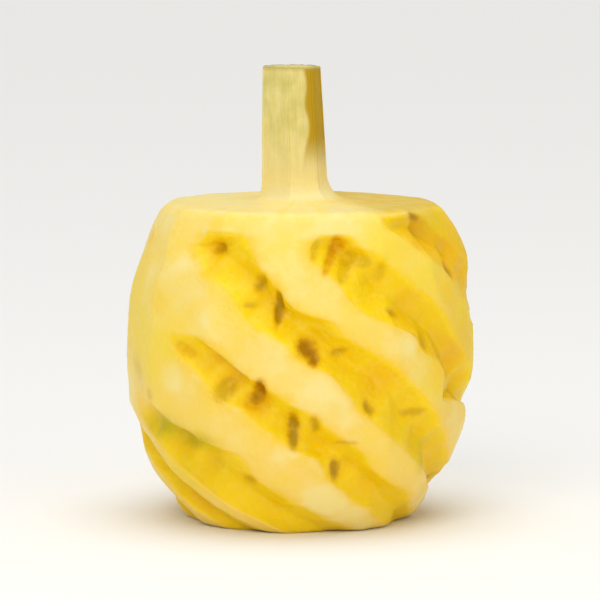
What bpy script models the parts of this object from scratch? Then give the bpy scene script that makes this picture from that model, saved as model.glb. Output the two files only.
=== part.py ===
"""A small peeled pineapple with its stalk left on as a handle.

It stands upside down, as such fruit is sold: on the flat end where the crown was cut
off, with the trimmed stalk at the top. The rind has been pared away in strips, and its
eyes cut out along eight spiral grooves, so that pale ridges wind round a yellow body.

The front of the fruit faces -Y, and a bearing is an angle round Z from the front
towards +X. The origin is on the base, under the middle of the barrel. Lengths are in
metres, and angles are in radians unless a name says degrees.
"""

import math

import bmesh
import bpy
import numpy as np

MM = 0.001
NODE_NAME = "peeled_pineapple"

# The barrel that paring leaves: its widest ring, its flat top and its flat base.
BODY_HEIGHT = 77.0 * MM
BELLY_HEIGHT = 43.5 * MM
BELLY_RADIUS = 42.8 * MM
SHOULDER_RADIUS = 33.2 * MM
BASE_RADIUS = 28.0 * MM
SHOULDER_CURVE = 1.9  # how late the side turns in towards the shoulder
BASE_CURVE = 2.5  # the same towards the base
SHOULDER_ROUNDING = 2.4 * MM
BASE_ROUNDING = 1.6 * MM
TOP_DOME = 0.8 * MM
OVAL_SHARE = 0.010  # how far the barrel is out of round
LOPSIDED_SHARE = 0.007

# The barrel is a little fuller on its right, below the shoulder.
SWELL_BEARING = math.radians(88)
SWELL_HALF_ANGLE = math.radians(32)
SWELL_HEIGHT = 61.0 * MM
SWELL_HALF_HEIGHT = 10.0 * MM
SWELL_RISE = 2.0 * MM

# The flat strips that the paring knife leaves, side by side round the barrel.
PARED_STRIPS = 13
STRIP_FLATNESS = 0.6  # 1 is a true polygon, and 0 is round
STRIP_JITTER = math.radians(5)

# The stalk: a knife-trimmed post that leans to -X and flares into the flesh at +X.
STALK_LENGTH = 33.0 * MM
STALK_TOP_RADIUS = 7.1 * MM
STALK_FOOT_RADIUS = 8.0 * MM
STALK_FLARE = 6.5 * MM
STALK_FLARE_LEAST = 0.25  # share of the flare on the side where it is smallest
STALK_CHAMFER = 0.6 * MM
STALK_TURN = math.radians(28)  # turns the stalk's facets from the grooves' bearings
STALK_FOOT_SHIFT = 0.9 * MM
STALK_TOP_SHIFT = 1.8 * MM

# The eight grooves follow the rows of eyes, at one steady slope round the barrel.
GROOVE_SLOPE = math.radians(36.5)
# Each groove's bearing at the belly, which is as uneven as the rows of eyes are.
GROOVE_BEARINGS = np.radians([15.7, 60.4, 109.5, 154, 197, 238, 273, 330.1])
GROOVE_LEAN_DEGREES_PER_MM = [-0.02, 0.10, 0.10, 0.05, -0.08, 0.04, -0.10, -0.03]
GROOVE_DEPTH = 5.0 * MM
GROOVE_DEPTH_SPREAD = 0.10
# How far down the side from the shoulder each groove starts, and the radius of the
# round end that the knife left there, or 0 where the groove starts in a point.
GROOVE_STARTS = np.array([4.4, 4.8, 1.0, 4.0, 2.5, 5.0, 3.0, 29.0]) * MM
GROOVE_START_RADII = np.array([5.5, 4.5, 4.5, 5.0, 5.5, 4.6, 5.2, 0.0]) * MM
GROOVE_RUN_IN = 8.0 * MM  # from the start to full depth
GROOVE_RUN_OUT = 15.0 * MM  # up the side from the base, where the cut gets shallower
GROOVE_DEPTH_AT_BASE = 0.45  # share of the full depth
GROOVE_WANDER = math.radians(1.6)
GROOVE_WANDER_LENGTH = 26.0 * MM
# Shares of the way from one groove's floor to the next that the two walls take up.
STEEP_WALL_SHARE = 0.22  # the wall under a ridge
GENTLE_WALL_SHARE = 0.32  # the wall on top of a ridge
WALL_CURVE = 1.35

# The sockets of the eyes, sunk into the floors of the grooves.
EYE_SPACING = 12.5 * MM
EYE_LENGTH = 6.5 * MM
EYE_DEPTH = 1.3 * MM
EYE_WIDTH_SHARE = 0.10

# How finely the solid is faceted.
STEEP_WALL_COLUMNS = 3
RIDGE_COLUMNS = 5
GENTLE_WALL_COLUMNS = 3
SIDE_RINGS = 34
STALK_RINGS = 5
FLARE_RINGS = 4
TOP_RINGS = 3
ROUNDING_RINGS = 3
SEED = 7

GROOVES = len(GROOVE_BEARINGS)
COLUMNS_PER_GROOVE = STEEP_WALL_COLUMNS + RIDGE_COLUMNS + GENTLE_WALL_COLUMNS
COLUMNS = GROOVES * COLUMNS_PER_GROOVE
STALK_TOP = BODY_HEIGHT + STALK_LENGTH


def clear_scene():
    for obj in list(bpy.data.objects):
        bpy.data.objects.remove(obj, do_unlink=True)


def side_radius(height):
    """Radius of the round barrel at a height, before any strip or groove is cut."""
    if height > BELLY_HEIGHT:
        rise = (height - BELLY_HEIGHT) / (BODY_HEIGHT - BELLY_HEIGHT)
        return BELLY_RADIUS - (BELLY_RADIUS - SHOULDER_RADIUS) * rise**SHOULDER_CURVE
    drop = (BELLY_HEIGHT - height) / BELLY_HEIGHT
    return BELLY_RADIUS - (BELLY_RADIUS - BASE_RADIUS) * drop**BASE_CURVE


def rounded_corner(start, corner, end, steps):
    """Points after start, up to and with end, on a curve that rounds off a corner."""
    points = []
    for step in range(1, steps + 1):
        t = step / steps
        weights = ((1 - t) ** 2, 2 * t * (1 - t), t**2)
        points.append(
            tuple(
                sum(w * p[axis] for w, p in zip(weights, (start, corner, end)))
                for axis in (0, 1)
            )
        )
    return points


def evenly(start, end, steps):
    """Points after start, up to and with end, on a straight line."""
    return [
        tuple(a + (b - a) * step / steps for a, b in zip(start, end))
        for step in range(1, steps + 1)
    ]


def side_points():
    """The barrel's side from under the shoulder to above the base, in even steps."""
    heights = np.linspace(BODY_HEIGHT - SHOULDER_ROUNDING, BASE_ROUNDING, 400)
    radii = np.array([side_radius(height) for height in heights])
    along = np.concatenate([[0], np.cumsum(np.hypot(np.diff(heights), np.diff(radii)))])
    marks = np.linspace(0, along[-1], SIDE_RINGS)
    return list(zip(np.interp(marks, along, radii), np.interp(marks, along, heights)))


def profile():
    """(radius, height) of each ring, from the rim of the stalk's cut to the base's rim."""
    side = side_points()
    foot_top = (STALK_FOOT_RADIUS, BODY_HEIGHT + STALK_FLARE + TOP_DOME)
    foot_corner = (STALK_FOOT_RADIUS, BODY_HEIGHT + TOP_DOME)
    foot_end = (STALK_FOOT_RADIUS + STALK_FLARE, BODY_HEIGHT + TOP_DOME)
    shoulder_start = (SHOULDER_RADIUS - SHOULDER_ROUNDING, BODY_HEIGHT)
    shoulder_corner = (SHOULDER_RADIUS - SHOULDER_ROUNDING / 3, BODY_HEIGHT)
    base_corner = (BASE_RADIUS, 0.0)
    base_rim = (BASE_RADIUS - BASE_ROUNDING, 0.0)

    points = [(STALK_TOP_RADIUS - STALK_CHAMFER, STALK_TOP)]
    points.append((STALK_TOP_RADIUS, STALK_TOP - STALK_CHAMFER))
    points += evenly(points[-1], foot_top, STALK_RINGS)
    points += rounded_corner(foot_top, foot_corner, foot_end, FLARE_RINGS)
    points += evenly(foot_end, shoulder_start, TOP_RINGS)
    points += rounded_corner(shoulder_start, shoulder_corner, side[0], ROUNDING_RINGS)
    points += side[1:]
    points += rounded_corner(side[-1], base_corner, base_rim, 2)
    return np.array(points)


def turned_blank(rings):
    """The round blank: an open surface turned from the rings' radii and heights."""
    outline = bpy.data.meshes.new("outline")
    vertices = [(radius, 0.0, height) for radius, height in rings]
    outline.from_pydata(vertices, [(i, i + 1) for i in range(len(rings) - 1)], [])
    blank = bpy.data.objects.new("blank", outline)
    bpy.context.collection.objects.link(blank)
    turn = blank.modifiers.new("turn", "SCREW")
    turn.axis = "Z"
    turn.steps = turn.render_steps = COLUMNS
    turn.use_merge_vertices = False
    bpy.context.view_layer.update()
    graph = bpy.context.evaluated_depsgraph_get()
    mesh = bpy.data.meshes.new_from_object(blank.evaluated_get(graph))
    bpy.data.objects.remove(blank, do_unlink=True)
    return mesh


def smooth_step(low, high, value):
    t = np.clip((value - low) / (high - low), 0, 1)
    return t * t * (3 - 2 * t)


class Grooves:
    """Where each groove runs, and how deep it is, on each ring of the fruit."""

    def __init__(self, rings):
        random = np.random.default_rng(SEED)
        self.radii, self.heights = rings[:, 0], rings[:, 1]
        steps = np.hypot(np.diff(self.radii), np.diff(self.heights))
        self.along = np.concatenate([[0], np.cumsum(steps)])
        self.along -= np.interp(-BODY_HEIGHT, -self.heights, self.along)
        self.twist = self.steady_twist(steps)
        self.waves = random.uniform(0, 2 * math.pi, GROOVES)
        spread = random.uniform(-1, 1, GROOVES)
        self.depths = GROOVE_DEPTH * (1 + GROOVE_DEPTH_SPREAD * spread)
        self.first_eyes = random.uniform(0.3, 1.0, GROOVES) * EYE_SPACING

    def steady_twist(self, steps):
        """Bearing that a line at the grooves' slope gains below the belly."""
        mean_radii = (self.radii[1:] + self.radii[:-1]) / 2
        on_side = self.along[1:] > 0
        turns = np.where(on_side, steps / mean_radii / math.tan(GROOVE_SLOPE), 0)
        twist = np.concatenate([[0], np.cumsum(turns)])
        below = self.along > 0
        return twist - np.interp(
            -BELLY_HEIGHT, -self.heights[below], twist[below]
        )

    def lines(self):
        """Bearing of each groove's floor on each ring, and of the first one again."""
        lean = np.radians(GROOVE_LEAN_DEGREES_PER_MM) / MM
        rise = np.clip(self.heights, 0, BODY_HEIGHT)[:, None] - BELLY_HEIGHT
        wave = 2 * math.pi * self.along[:, None] / GROOVE_WANDER_LENGTH + self.waves
        fade = smooth_step(0, GROOVE_RUN_IN, self.along)[:, None]
        lines = GROOVE_BEARINGS + self.twist[:, None] + lean * rise
        lines = lines + GROOVE_WANDER * fade * np.sin(wave)
        self.stand_upright(lines)
        return np.hstack([lines, lines[:, :1] + 2 * math.pi])

    def stand_upright(self, lines):
        """Turns each line straight up above the middle of its groove's round end."""
        for groove in np.flatnonzero(GROOVE_START_RADII):
            middle = GROOVE_STARTS[groove] + GROOVE_START_RADII[groove]
            bearing = np.interp(middle, self.along, lines[:, groove])
            lines[self.along < middle, groove] = bearing

    def cut_depths(self):
        """Depth of each groove's floor on each ring, and of the first one again."""
        starts = GROOVE_STARTS - GROOVE_RUN_IN / 4
        opened = smooth_step(starts, starts + GROOVE_RUN_IN, self.along[:, None])
        below = 1 - smooth_step(0, GROOVE_RUN_OUT, self.heights)
        shallow = 1 - (1 - GROOVE_DEPTH_AT_BASE) * below
        depths = opened * shallow[:, None] * self.depths
        return np.hstack([depths, depths[:, :1]])

    def eye_depths(self):
        """Depth of the eyes' sockets on each groove's floor, on each ring."""
        slant = math.sin(GROOVE_SLOPE)
        run = self.along[:, None] / slant - self.first_eyes
        from_eye = run - EYE_SPACING * np.round(run / EYE_SPACING)
        socket = np.exp(-((2 * from_eye / EYE_LENGTH) ** 2))
        full = GROOVE_STARTS + GROOVE_RUN_IN
        inside = smooth_step(GROOVE_STARTS, full, self.along[:, None])
        inside = inside * smooth_step(0, GROOVE_RUN_OUT, self.heights)[:, None]
        sockets = EYE_DEPTH * socket * inside
        return np.hstack([sockets, sockets[:, :1]])


def wall_depth(from_floor):
    """Share of a groove's depth, from its floor at 0 to the ridge's edge at 1."""
    return 1 - np.clip(from_floor, 0, 1) ** WALL_CURVE


def column_shares():
    """How far each column of one groove lies on the way to the next groove's floor."""
    ridge_end = 1 - GENTLE_WALL_SHARE
    steep = np.linspace(0, STEEP_WALL_SHARE, STEEP_WALL_COLUMNS, endpoint=False)
    ridge = np.linspace(STEEP_WALL_SHARE, ridge_end, RIDGE_COLUMNS, endpoint=False)
    gentle = np.linspace(ridge_end, 1, GENTLE_WALL_COLUMNS, endpoint=False)
    return np.concatenate([steep, ridge, gentle])


def groove_lattice(rings):
    """Bearing and cut depth of every point, as arrays of rings by columns."""
    grooves = Grooves(rings)
    lines, depths, eyes = grooves.lines(), grooves.cut_depths(), grooves.eye_depths()
    bearings, cuts = [], []
    for groove in range(GROOVES):
        for share in column_shares():
            here, following = lines[:, groove], lines[:, groove + 1]
            bearings.append(here + share * (following - here))
            steep = wall_depth(share / STEEP_WALL_SHARE)
            gentle = wall_depth((1 - share) / GENTLE_WALL_SHARE)
            cut = depths[:, groove] * steep + depths[:, groove + 1] * gentle
            cut += eyes[:, groove] * np.exp(-((share / EYE_WIDTH_SHARE) ** 2))
            from_next = (1 - share) / EYE_WIDTH_SHARE
            cut += eyes[:, groove + 1] * np.exp(-(from_next**2))
            cuts.append(cut)
    return np.array(bearings).T, np.array(cuts).T


def flat_strips(bearings, corners):
    """Share of the radius that flat strips between these corners leave."""
    start = corners[0]
    ends = np.append(corners, start + 2 * math.pi)
    turned = np.mod(bearings - start, 2 * math.pi) + start
    strip = np.clip(np.searchsorted(ends, turned, side="right") - 1, 0, len(corners) - 1)
    middle = (ends[strip] + ends[strip + 1]) / 2
    half = (ends[strip + 1] - ends[strip]) / 2
    return np.cos(half) / np.cos(turned - middle)


def swell(bearings, heights):
    """How far the barrel stands out on its fuller side."""
    away = np.mod(bearings - SWELL_BEARING + math.pi, 2 * math.pi) - math.pi
    across = away / SWELL_HALF_ANGLE
    up = (heights - SWELL_HEIGHT) / SWELL_HALF_HEIGHT
    return SWELL_RISE * np.exp(-(across**2) - up**2) * (heights < BODY_HEIGHT)


def shape_body(radii, heights, bearings, cuts):
    """Radii of the body's points once it is pared into strips and grooved."""
    even = np.arange(PARED_STRIPS) * 2 * math.pi / PARED_STRIPS
    jitter = np.random.default_rng(SEED + 1).uniform(-1, 1, PARED_STRIPS)
    strips = flat_strips(bearings, even + STRIP_JITTER * jitter)
    strips = 1 + STRIP_FLATNESS * (strips - 1)
    uneven = OVAL_SHARE * np.cos(2 * bearings - 0.8)
    uneven += LOPSIDED_SHARE * np.cos(3 * bearings + 0.5)
    return radii * strips * (1 + uneven) + swell(bearings, heights) - cuts


def shape_points(rings):
    """Every point of the finished surface, as an array of rings, columns and x, y, z."""
    radii = np.repeat(rings[:, :1], COLUMNS, axis=1)
    heights = np.repeat(rings[:, 1:], COLUMNS, axis=1)
    bearings, cuts = groove_lattice(rings)
    body = shape_body(radii, heights, bearings, cuts)
    on_body = smooth_step(STALK_FOOT_RADIUS, SHOULDER_RADIUS * 0.8, radii)
    turned = bearings + STALK_TURN * (1 - on_body)
    flare = np.maximum(radii - STALK_FOOT_RADIUS, 0)
    unflared = (1 - STALK_FLARE_LEAST) * (1 - np.sin(turned)) / 2
    corners = bearings[0, ::COLUMNS_PER_GROOVE]
    stalk = (radii - flare * unflared) * flat_strips(bearings, corners)
    shaped = stalk + (body - stalk) * on_body

    up_stalk = np.clip((heights - BODY_HEIGHT) / STALK_LENGTH, 0, 1)
    shift = STALK_FOOT_SHIFT + (STALK_TOP_SHIFT - STALK_FOOT_SHIFT) * up_stalk
    x = shaped * np.sin(turned) - shift * (1 - on_body)
    y = -shaped * np.cos(turned)
    return np.stack([centred(x), centred(y), heights], axis=2)


def centred(values):
    """The values moved so that their two extremes lie equally far from 0."""
    return values - (values.min() + values.max()) / 2


def build_fruit():
    rings = profile()
    mesh = turned_blank(rings)
    points = shape_points(rings)
    # The turned blank lists its points column by column, and each column from the top.
    by_column = points.transpose(1, 0, 2).reshape(-1, 3)
    mesh.vertices.foreach_set("co", by_column.astype(np.float32).ravel())

    cage = bmesh.new()
    cage.from_mesh(mesh)
    open_rims = [edge for edge in cage.edges if edge.is_boundary]
    bmesh.ops.holes_fill(cage, edges=open_rims, sides=0)
    sides = [face for face in cage.faces if len(face.verts) == 4]
    bmesh.ops.triangulate(cage, faces=sides, quad_method="SHORT_EDGE")
    bmesh.ops.recalc_face_normals(cage, faces=cage.faces)
    cage.to_mesh(mesh)
    cage.free()

    mesh.name = NODE_NAME
    mesh.shade_smooth()
    mesh.set_sharp_from_angle(angle=math.radians(40))
    fruit = bpy.data.objects.new(NODE_NAME, mesh)
    fruit.data.materials.append(flesh_material())
    return fruit


def flesh_material():
    material = bpy.data.materials.new("pineapple_flesh")
    material.use_nodes = True
    shader = material.node_tree.nodes["Principled BSDF"]
    shader.inputs["Base Color"].default_value = (0.94, 0.70, 0.12, 1)
    shader.inputs["Roughness"].default_value = 0.4
    shader.inputs["Metallic"].default_value = 0.0
    return material


def main():
    clear_scene()
    parts = bpy.data.collections.new("peeled pineapple")
    bpy.context.scene.collection.children.link(parts)
    parts.objects.link(build_fruit())


main()
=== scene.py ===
import math

import bpy
import numpy as np
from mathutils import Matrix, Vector, noise


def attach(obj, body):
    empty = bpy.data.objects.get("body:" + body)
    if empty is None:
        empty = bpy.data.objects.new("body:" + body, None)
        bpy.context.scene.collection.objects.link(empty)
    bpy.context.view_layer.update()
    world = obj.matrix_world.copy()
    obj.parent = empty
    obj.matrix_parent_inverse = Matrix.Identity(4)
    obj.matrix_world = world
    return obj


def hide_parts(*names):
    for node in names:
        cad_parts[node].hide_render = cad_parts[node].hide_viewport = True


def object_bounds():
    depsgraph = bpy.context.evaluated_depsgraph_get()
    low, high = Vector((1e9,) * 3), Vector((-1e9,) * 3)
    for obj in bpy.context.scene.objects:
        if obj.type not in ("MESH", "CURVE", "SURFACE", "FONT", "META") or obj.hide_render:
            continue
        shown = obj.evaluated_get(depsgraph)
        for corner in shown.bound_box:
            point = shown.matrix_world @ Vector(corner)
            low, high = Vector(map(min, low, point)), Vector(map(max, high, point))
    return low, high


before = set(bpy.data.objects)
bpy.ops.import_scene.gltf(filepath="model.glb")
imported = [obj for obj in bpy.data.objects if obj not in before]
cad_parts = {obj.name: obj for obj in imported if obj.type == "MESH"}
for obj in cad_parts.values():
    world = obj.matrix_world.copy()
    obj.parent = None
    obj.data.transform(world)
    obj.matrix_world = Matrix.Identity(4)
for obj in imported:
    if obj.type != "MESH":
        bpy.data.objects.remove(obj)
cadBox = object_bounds()

# A small peeled pineapple on its flat end, seen from the front (-Y).
# Lengths are in metres. A bearing is an angle round the fruit from the front towards +X.
mm = 0.001
seed = 7

barrel = {
    "height": 77 * mm,
    "bellyHeight": 43.5 * mm,
    "bellyRadius": 42.8 * mm,
    "shoulderRadius": 33.2 * mm,
    "baseRadius": 28 * mm,
    "shoulderCurve": 1.9,  # how late the side turns in towards the shoulder
    "baseCurve": 2.5,
    "shoulderRounding": 1.9 * mm,
    "baseRounding": 1.6 * mm,
    "topDome": 0.8 * mm,
    "topBlend": 0.8,  # share of the shoulder's radius where the top takes the side's outline
    "topColour": (1.2 * mm, 0.3 * mm),  # below the top: where its colour starts and is full
    "ovalShare": 0.010,  # out of round
    "ovalTurn": -0.8,
    "lopsidedShare": 0.007,
    "lopsidedTurn": 0.5,
    "stripCount": 13,  # flat strips left by the paring knife
    "stripFlatness": 0.6,  # 1 is a true polygon, and 0 is round
    "stripJitter": math.radians(5),
    "knifeWave": 0.13 * mm,  # what the knife's wobble leaves along a strip
    "knifeWaveLength": 15 * mm,
}

stalk = {
    "length": 33 * mm,
    "topRadius": 7.1 * mm,
    "footRadius": 8.0 * mm,
    "flare": 6.5 * mm,
    "flareLeast": 0.25,  # share of the flare on the side where it is smallest
    "chamfer": 0.6 * mm,
    "turn": math.radians(28),
    "footShift": 0.9 * mm,  # towards -X
    "topShift": 1.8 * mm,
    "fibreCounts": (23, 41),  # ridges of fibre round it
    "fibreDepth": 0.07 * mm,
    "endDip": 0.6 * mm,  # the cut end has dried and sunk a little in its middle
    "footColour": (2 * mm, 9 * mm),  # above the top: where its colour starts and is full
    "rimDepth": (0.9 * mm, 0.3 * mm),  # the same for the dried rim, below the cut end
    "rimWidth": (1.8 * mm, 0.8 * mm),  # and in from its edge
}

lattice = {
    "steepColumns": 10,
    "ridgeColumns": 16,
    "gentleColumns": 14,
    "endRings": 9,
    "chamferRings": 3,
    "stalkRings": 38,
    "flareRings": 12,
    "topRings": 26,
    "shoulderRings": 7,
    "sideRings": 182,
    "sideSamples": 800,  # of the side's curve, so that its rings are evenly spaced
    "baseEdgeRings": 4,
    "baseRings": 16,
    "endHole": 0.4 * mm,  # radius of the first ring, which one face fills
    "baseHole": 0.6 * mm,
}


def smoothStep(low, high, value):
    t = np.clip((value - low) / (high - low), 0, 1)
    return t * t * (3 - 2 * t)


def wrapped(angle):
    return np.mod(angle + math.pi, 2 * math.pi) - math.pi


def evenly(start, end, steps):
    shares = np.linspace(0, 1, steps + 1)[1:]
    return [(start[0] + (end[0] - start[0]) * t, start[1] + (end[1] - start[1]) * t) for t in shares]


def roundedCorner(start, corner, end, steps):
    points = []
    for t in np.linspace(0, 1, steps + 1)[1:]:
        weights = ((1 - t) ** 2, 2 * t * (1 - t), t * t)
        points.append(tuple(sum(w * p[i] for w, p in zip(weights, (start, corner, end))) for i in (0, 1)))
    return points


def sideRadius(heights):
    aboveBelly = (heights - barrel["bellyHeight"]) / (barrel["height"] - barrel["bellyHeight"])
    belowBelly = 1 - heights / barrel["bellyHeight"]
    radii = barrel["bellyRadius"]
    for end, share in (("shoulder", aboveBelly), ("base", belowBelly)):
        turnedIn = barrel["bellyRadius"] - barrel[end + "Radius"]
        radii = radii - turnedIn * np.clip(share, 0, None) ** barrel[end + "Curve"]
    return radii


# Radius and height of each ring, from the middle of the stalk's cut end to the base's middle.
def fruitProfile():
    top = barrel["height"] + stalk["length"]
    crown = barrel["height"] + barrel["topDome"]
    foot = stalk["footRadius"]
    sideTop = barrel["height"] - barrel["shoulderRounding"]
    heights = np.linspace(sideTop, barrel["baseRounding"], lattice["sideSamples"])
    radii = sideRadius(heights)
    along = np.concatenate([[0], np.cumsum(np.hypot(np.diff(heights), np.diff(radii)))])
    stations = np.linspace(0, along[-1], lattice["sideRings"])
    side = list(zip(np.interp(stations, along, radii), np.interp(stations, along, heights)))
    rim = (stalk["topRadius"] - stalk["chamfer"], top)
    edge = (stalk["topRadius"], top - stalk["chamfer"])
    shoulder = (barrel["shoulderRadius"] - barrel["shoulderRounding"], barrel["height"])
    corner = (barrel["shoulderRadius"] - barrel["shoulderRounding"] / 3, barrel["height"])
    baseRim = (barrel["baseRadius"] - barrel["baseRounding"], 0.0)

    points = [(lattice["endHole"], top)]
    points += evenly(points[-1], rim, lattice["endRings"])
    points += roundedCorner(rim, (stalk["topRadius"], top), edge, lattice["chamferRings"])
    points += evenly(edge, (foot, crown + stalk["flare"]), lattice["stalkRings"])
    points += roundedCorner(points[-1], (foot, crown), (foot + stalk["flare"], crown), lattice["flareRings"])
    points += evenly(points[-1], shoulder, lattice["topRings"])
    shoulderRing = len(points) - 1
    points += roundedCorner(shoulder, corner, side[0], lattice["shoulderRings"])
    points += side[1:]
    points += roundedCorner(side[-1], (barrel["baseRadius"], 0.0), baseRim, lattice["baseEdgeRings"])
    baseRing = len(points) - 1
    points += evenly(baseRim, (lattice["baseHole"], 0.0), lattice["baseRings"])
    return np.array(points), shoulderRing, baseRing


rings, shoulderRing, baseRing = fruitProfile()
ringRadii, ringHeights = rings[:, 0], rings[:, 1]
ringCount = len(rings)
below = slice(shoulderRing, baseRing + 1)
underTop = ringHeights < barrel["height"] - 0.1 * mm  # the shoulder's rounding and all below it

groove = {
    "slope": math.radians(36.5),
    "bearings": np.radians([15.7, 60.4, 109.5, 154, 197, 238, 273, 330.1]),  # at the belly
    "lean": np.radians([-0.02, 0.10, 0.10, 0.05, -0.08, 0.04, -0.10, -0.03]) / mm,
    "depth": 5.0 * mm,
    "depthSpread": 0.10,
    # How far down from the shoulder each groove starts, the radius of its round start, and
    # how far it takes to reach full depth.
    "starts": np.array([6.0, 6.4, 2.0, 5.0, 3.5, 6.0, 4.5, 31.0]) * mm,
    "startRadii": np.array([4.5, 4.0, 4.5, 5.0, 5.5, 4.6, 5.2, 0]) * mm,
    "runIns": np.array([5.5, 4.0, 5.0, 6.0, 8.0, 6.0, 8.0, 6.0]) * mm,
    "startsInSight": (0, 1, 7),
    "startTangent": 0.8,  # share of that radius at which the straight edges leave the round start
    "runOut": 15.0 * mm,
    "depthAtBase": 0.45,
    "wander": math.radians(1.6),
    "wanderLength": 26 * mm,
    "wanderRunIn": 8 * mm,
    "steepShare": 0.22,  # of the way to the next groove: the wall under a ridge
    "steepLimits": (0.08, 0.42),
    "gentleShare": 0.32,  # the wall on top of a ridge
    "gentleLimits": (0.10, 0.50),
    "wallCurve": 1.35,
    "edgeRounding": 0.35 * mm,
    "colourRunIn": 2.2 * mm,
    "colourDepth": 0.38,  # share of the depth at which the colour is the floor's
    "colourAtEdge": 0.34,  # how far it has changed at a wall's top
    "ridgeFade": 2.4,  # how fast it fades from there onto the ridge
    "lips": [0.35, 0.9, 0.5, 0.4, 0.6, 0.3, 0.5, 0.35],  # how dark the cut's lower edge is
    "lipWidth": 0.14,  # share of the wall
    "lipFade": 0.07,
}
grooveCount = len(groove["bearings"])
columnsPerGroove = lattice["steepColumns"] + lattice["ridgeColumns"] + lattice["gentleColumns"]
columnCount = grooveCount * columnsPerGroove
draws = np.random.default_rng(seed)  # the same draws as the solid's own, in the same order
waves = draws.uniform(0, 2 * math.pi, grooveCount)
grooveDepths = groove["depth"] * (1 + groove["depthSpread"] * draws.uniform(-1, 1, grooveCount))

# How far down the side each ring is from the shoulder, held still across the base.
ringSteps = np.hypot(np.diff(ringRadii), np.diff(ringHeights))
sideRun = np.concatenate([[0], np.cumsum(ringSteps)])
sideRun -= sideRun[shoulderRing]
sideRun = np.minimum(sideRun, sideRun[baseRing])
grooveRun = sideRun / math.sin(groove["slope"])  # the same way, measured along a groove

# How far a groove has turned round the fruit at each ring.
onSide = (sideRun[1:] > 0) & (np.arange(1, ringCount) <= baseRing)
turns = np.where(onSide, ringSteps * 2 / (ringRadii[1:] + ringRadii[:-1]) / math.tan(groove["slope"]), 0)
twist = np.concatenate([[0], np.cumsum(turns)])
twist -= np.interp(-barrel["bellyHeight"], -ringHeights[below], twist[below])


# Bearing of each groove's floor on every ring, with the first groove again at the end.
def grooveLines():
    rise = np.clip(ringHeights, 0, barrel["height"])[:, None] - barrel["bellyHeight"]
    wave = np.sin(2 * math.pi * sideRun[:, None] / groove["wanderLength"] + waves)
    fade = smoothStep(0, groove["wanderRunIn"], sideRun)[:, None]
    lines = groove["bearings"] + twist[:, None] + groove["lean"] * rise + groove["wander"] * fade * wave
    for number, radius in enumerate(groove["startRadii"]):
        if radius > 0:  # the line stands upright above the middle of the round start
            middle = groove["starts"][number] + radius
            held = np.interp(middle, sideRun[:baseRing], lines[:baseRing, number])
            lines[sideRun < middle, number] = held
    return np.hstack([lines, lines[:, :1] + 2 * math.pi])


lines = grooveLines()
spans = np.diff(lines, axis=1)

# Each turn of the knife round an eye leaves a scoop, so a groove is a row of scoops.
scoop = {
    "length": 9.5 * mm,
    "lengthSpread": 0.25,
    "count": 20,  # enough for the longest groove
    "edgeSwell": 0.24,  # how far a scoop's edges bulge into the ridges
    "edgeRoundness": 0.9,
    "edgeMean": 0.78,
    "edgeSpread": 0.05,
    "crest": 0.24,  # height of the crest between two scoops, as a share of the depth
    "crestSpread": 0.6,  # some crests are higher than others
    "crestWave": 11 * mm,
    "unevenness": 0.12,
}


# How far along its groove a point is that lies this angle to the right of the floor line.
def alongGroove(offset):
    return (grooveRun * np.ones_like(offset.T)).T + (ringRadii * offset.T).T * math.cos(groove["slope"])


# Where each point lies in its scoop (-1 to 1), and that scoop's own unevenness.
def scoopsAlong(number, along):
    own = np.random.default_rng(seed * 100 + number)
    lengths = scoop["length"] * (1 + scoop["lengthSpread"] * own.uniform(-1, 1, scoop["count"]))
    first = (own.uniform(0, 1) - 2) * scoop["length"]
    ends = np.concatenate([[first], first + np.cumsum(lengths)])
    which = np.clip(np.searchsorted(ends, along) - 1, 0, len(lengths) - 1)
    middle = (ends[which] + ends[which + 1]) / 2
    place = np.clip((along - middle) / (ends[which + 1] - ends[which]) * 2, -1, 1)
    return place, own.uniform(-1, 1, (scoop["count"], 3))[which]


# A scooped floor's depth, as a share of the groove's, and each scoop's own tint.
def scoopFloor(number, along):
    place, uneven = scoopsAlong(number, along)
    crest = scoop["crest"] * (1 + scoop["crestSpread"] * np.sin(along / scoop["crestWave"]))
    rounded = (1 - np.cos(math.pi * place)) / 2
    floor = 1 - crest * rounded + scoop["unevenness"] * uneven[..., 1] * (1 - place**2) ** 2
    return floor, uneven[..., 2] * (1 - place**2)


def scoopSwell(number, offset):
    place, uneven = scoopsAlong(number, alongGroove(offset))
    bulge = np.sqrt(1 - scoop["edgeRoundness"] * place**2) - scoop["edgeMean"]
    return scoop["edgeSwell"] * bulge + scoop["edgeSpread"] * uneven[..., 0] * (1 - place**4)


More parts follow.
